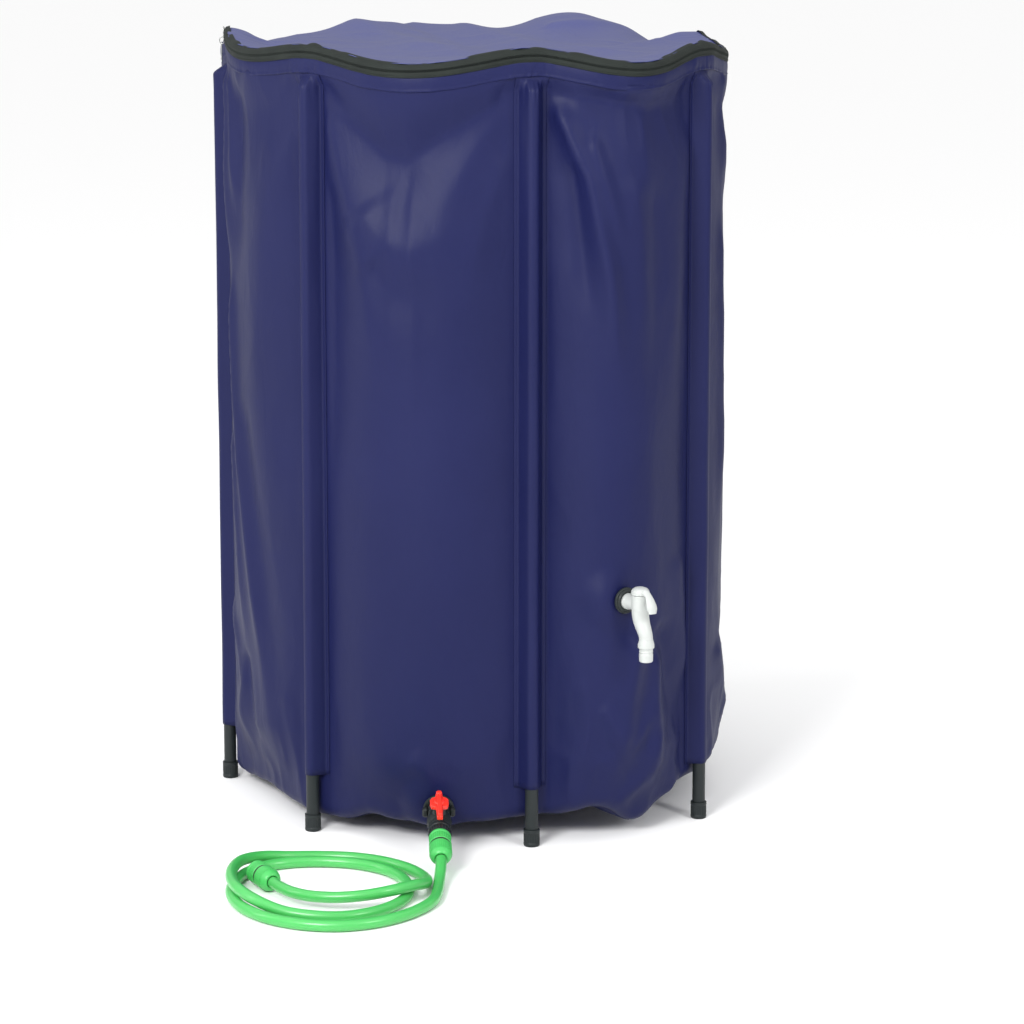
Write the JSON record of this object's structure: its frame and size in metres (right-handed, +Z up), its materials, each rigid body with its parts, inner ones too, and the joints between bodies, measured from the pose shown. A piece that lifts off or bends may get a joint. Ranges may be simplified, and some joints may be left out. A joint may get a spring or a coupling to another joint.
{
  "type": "collapsible water tank",
  "caption": "Collapsible free-standing water tank: soft PVC bag on push-in pipe legs, zipped fold-back lid, draw-off tap, low ball valve and a loose garden hose.",
  "frame": {"origin": "on the ground, under the middle of the tank's box without the hose", "axes": "+Z up, -Y is the front with the drain valve, +X is the side of the white tap"},
  "size_m": [0.8099, 1.2119, 1.2251],
  "materials": {
    "blue_pvc": "semi-gloss PVC-coated tarpaulin, navy blue",
    "blue_lid": "semi-gloss PVC-coated tarpaulin, lighter where it catches the light",
    "dark_pipe": "satin dark grey PVC pipe",
    "zip_fabric": "dark grey-green zip tape and coil",
    "zip_metal": "dull nickel zip slider and pull",
    "grey_tape": "light grey woven end tape",
    "black_plastic": "satin black moulded plastic",
    "red_plastic": "red moulded plastic",
    "white_plastic": "white moulded plastic",
    "green_hose": "bright green PVC hose, slightly glossy",
    "green_plastic": "green moulded plastic",
    "seal_rubber": "black rubber",
    "seat_white": "white low-friction plastic",
    "screw_steel": "plain steel"
  },
  "bodies": {
    "tank": {"leg_sleeve_1": "blue_pvc", "leg_sleeve_2": "blue_pvc", "leg_sleeve_3": "blue_pvc", "leg_sleeve_4": "blue_pvc", "leg_sleeve_5": "blue_pvc", "leg_sleeve_6": "blue_pvc", "leg_sleeve_7": "blue_pvc", "leg_sleeve_8": "blue_pvc", "tank_wall": "blue_pvc", "tank_floor": "blue_pvc", "rim_hem": "blue_pvc", "lid_back": "blue_lid", "zip_tape_lower": "zip_fabric", "zip_teeth_lower": "zip_fabric", "zip_slider": "zip_metal", "zip_end_tape": "grey_tape", "drain_gasket": "seal_rubber", "drain_flange": "black_plastic", "drain_lock_nut": "black_plastic", "valve_body": "black_plastic", "valve_seat_inner": "seat_white", "valve_seat_outer": "seat_white", "valve_outlet": "black_plastic", "tap_gasket": "seal_rubber", "tap_clamp_ring": "black_plastic", "tap_lock_nut": "black_plastic", "tap_body": "white_plastic", "hose": "green_hose", "connector_1_collar": "green_plastic", "connector_1_nut": "green_plastic", "connector_2_collar": "green_plastic", "connector_2_nut": "green_plastic"},
    "lid_front": {"lid_flap": "blue_lid", "zip_teeth_upper": "zip_fabric", "zip_tape_upper": "zip_fabric"},
    "drain_handle": {"valve_handle": "red_plastic", "valve_handle_screw": "screw_steel", "valve_stem": "seat_white", "valve_ball": "seat_white"},
    "tap_lever": {"tap_handle": "white_plastic", "tap_plug": "seat_white"},
    "zip_tab": {"zip_pull": "zip_metal"},
    "leg_1_pipe": {"leg_1": "dark_pipe", "foot_cap_1": "dark_pipe"},
    "leg_2_pipe": {"leg_2": "dark_pipe", "foot_cap_2": "dark_pipe"},
    "leg_3_pipe": {"leg_3": "dark_pipe", "foot_cap_3": "dark_pipe"},
    "leg_4_pipe": {"leg_4": "dark_pipe", "foot_cap_4": "dark_pipe"},
    "leg_5_pipe": {"leg_5": "dark_pipe", "foot_cap_5": "dark_pipe"},
    "leg_6_pipe": {"leg_6": "dark_pipe", "foot_cap_6": "dark_pipe"},
    "leg_7_pipe": {"leg_7": "dark_pipe", "foot_cap_7": "dark_pipe"},
    "leg_8_pipe": {"leg_8": "dark_pipe", "foot_cap_8": "dark_pipe"}
  },
  "joints": [
    {"name": "leg_1_slide", "type": "slide", "parent": "tank", "child": "leg_1_pipe", "axis": [0, 0, 1], "range_m": [-1.05, 0]},
    {"name": "leg_2_slide", "type": "slide", "parent": "tank", "child": "leg_2_pipe", "axis": [0, 0, 1], "range_m": [-1.05, 0]},
    {"name": "leg_3_slide", "type": "slide", "parent": "tank", "child": "leg_3_pipe", "axis": [0, 0, 1], "range_m": [-1.05, 0]},
    {"name": "leg_4_slide", "type": "slide", "parent": "tank", "child": "leg_4_pipe", "axis": [0, 0, 1], "range_m": [-1.05, 0]},
    {"name": "leg_5_slide", "type": "slide", "parent": "tank", "child": "leg_5_pipe", "axis": [0, 0, 1], "range_m": [-1.05, 0]},
    {"name": "leg_6_slide", "type": "slide", "parent": "tank", "child": "leg_6_pipe", "axis": [0, 0, 1], "range_m": [-1.05, 0]},
    {"name": "leg_7_slide", "type": "slide", "parent": "tank", "child": "leg_7_pipe", "axis": [0, 0, 1], "range_m": [-1.05, 0]},
    {"name": "leg_8_slide", "type": "slide", "parent": "tank", "child": "leg_8_pipe", "axis": [0, 0, 1], "range_m": [-1.05, 0]},
    {"name": "lid_fold", "type": "hinge", "parent": "tank", "child": "lid_front", "pos_m": [-0.00193, 0.05831, 1.2125], "axis": [-0.9906, -0.1371, 0], "range_deg": [0, 160]},
    {"name": "drain_handle_turn", "type": "hinge", "parent": "tank", "child": "drain_handle", "pos_m": [-0.0458, -0.40202, 0.055], "axis": [0.0091, -0.2616, 0.9651], "range_deg": [0, 90]},
    {"name": "tap_lever_turn", "type": "hinge", "parent": "tank", "child": "tap_lever", "pos_m": [0.25634, -0.38283, 0.385], "axis": [0, 0, 1], "range_deg": [0, 90]},
    {"name": "zip_pull_swing", "type": "hinge", "parent": "tank", "child": "zip_tab", "pos_m": [-0.38924, 0.01337, 1.2015], "axis": [-0.0175, 0.9998, 0], "range_deg": [0, 150]}
  ]
}
